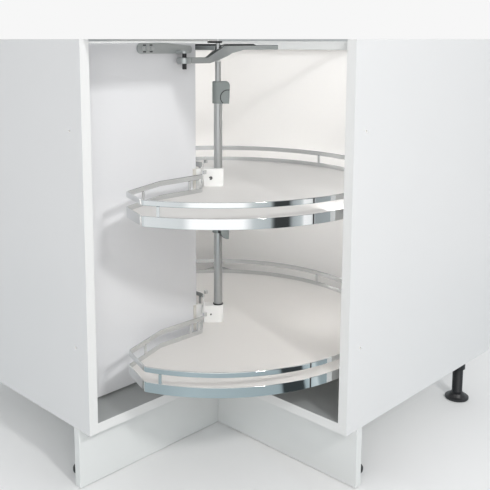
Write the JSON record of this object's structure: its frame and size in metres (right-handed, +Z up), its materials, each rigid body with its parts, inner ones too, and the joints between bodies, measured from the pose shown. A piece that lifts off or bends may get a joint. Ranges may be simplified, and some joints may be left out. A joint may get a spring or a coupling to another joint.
{
  "type": "corner carousel cabinet",
  "caption": "White L-shaped corner base unit whose two joined fronts retract and turn inside with a railed rotary tray carousel on a telescopic post.",
  "frame": {"origin": "centre of the square footprint at floor level", "axes": "+Z up; the room corner with the two walls is towards -X and +Y, the concave front faces +X and -Y"},
  "size_m": [0.9, 0.9, 0.84],
  "materials": {
    "white_carcass": "satin white melamine",
    "white_edge": "satin white melamine, slightly warmer",
    "white_front": "smooth white lacquer",
    "white_board": "satin white melamine",
    "chrome": "polished",
    "post_metal": "satin anodised",
    "steel": "zinc plated",
    "arm_metal": "satin die-cast",
    "grey_plastic": "fine moulded texture",
    "white_plastic": "satin moulding",
    "beige_plate": "satin enamel",
    "black_plastic": "fine moulded texture"
  },
  "bodies": {
    "carcass": {"side_panel_left": "white_carcass", "side_panel_right": "white_carcass", "bottom_panel": "white_carcass", "back_panel_left": "white_carcass", "back_panel_right": "white_carcass", "stretcher_left": "white_edge", "stretcher_right": "white_edge", "top_cross": "steel", "top_bearing": "black_plastic", "top_pin": "steel", "base_bearing": "steel", "base_screws": "steel", "plinth_left": "white_edge", "plinth_right": "white_edge", "plinth_clips": "black_plastic", "foot_sockets": "black_plastic", "levelling_feet": "black_plastic"},
    "carousel": {"lower_tube": "post_metal", "base_bush": "white_plastic", "coupling_clamp": "grey_plastic", "lower_tray_board": "white_board", "lower_tray_band": "chrome", "lower_tray_rail": "chrome", "lower_tray_spacers": "chrome", "lower_hub_bracket": "white_plastic", "lower_hub_screw": "steel", "hub_ring": "black_plastic", "lower_rail_studs": "chrome"},
    "post_top": {"upper_tube": "post_metal", "top_bush": "white_plastic"},
    "post_lever": {"coupling_lever": "grey_plastic"},
    "upper_tray": {"upper_tray_board": "white_board", "upper_tray_band": "chrome", "upper_tray_rail": "chrome", "upper_tray_spacers": "chrome", "upper_rail_studs": "chrome", "upper_hub_bracket": "white_plastic", "upper_hub_screw": "steel", "tray_sleeve": "grey_plastic", "tray_clamp": "grey_plastic"},
    "tray_clamp_lever": {"tray_lever": "grey_plastic"},
    "fronts": {"front_left": "white_front", "front_right": "white_front", "lower_front_bracket": "beige_plate", "upper_front_bracket": "beige_plate", "lower_guide_block": "white_plastic", "upper_guide_block": "white_plastic", "bracket_screws": "steel", "link_bar_left": "arm_metal", "link_bar_right": "arm_metal", "link_screws": "steel", "link_pins": "black_plastic", "retract_arm": "arm_metal", "arm_tail": "arm_metal"}
  },
  "joints": [
    {"name": "carousel_turn", "type": "hinge", "parent": "carcass", "child": "carousel", "pos_m": [0.074, -0.074, 0.4], "axis": [0, 0, 1], "continuous": true},
    {"name": "front_retract", "type": "slide", "parent": "carousel", "child": "fronts", "axis": [-0.7071, -0.7071, 0], "range_m": [0, 0.017]},
    {"name": "upper_tray_height", "type": "slide", "parent": "carousel", "child": "upper_tray", "axis": [0, 0, 1], "range_m": [-0.12, 0.07]},
    {"name": "post_telescope", "type": "slide", "parent": "carousel", "child": "post_top", "axis": [0, 0, 1], "range_m": [-0.02, 0]},
    {"name": "post_lever_open", "type": "hinge", "parent": "carousel", "child": "post_lever", "pos_m": [0.0885, -0.0595, 0.72], "axis": [0.7071, -0.7071, 0], "range_deg": [0, 90]},
    {"name": "tray_lever_open", "type": "hinge", "parent": "upper_tray", "child": "tray_clamp_lever", "pos_m": [0.0885, -0.0595, 0.4325], "axis": [0.7071, -0.7071, 0], "range_deg": [0, 90]}
  ]
}
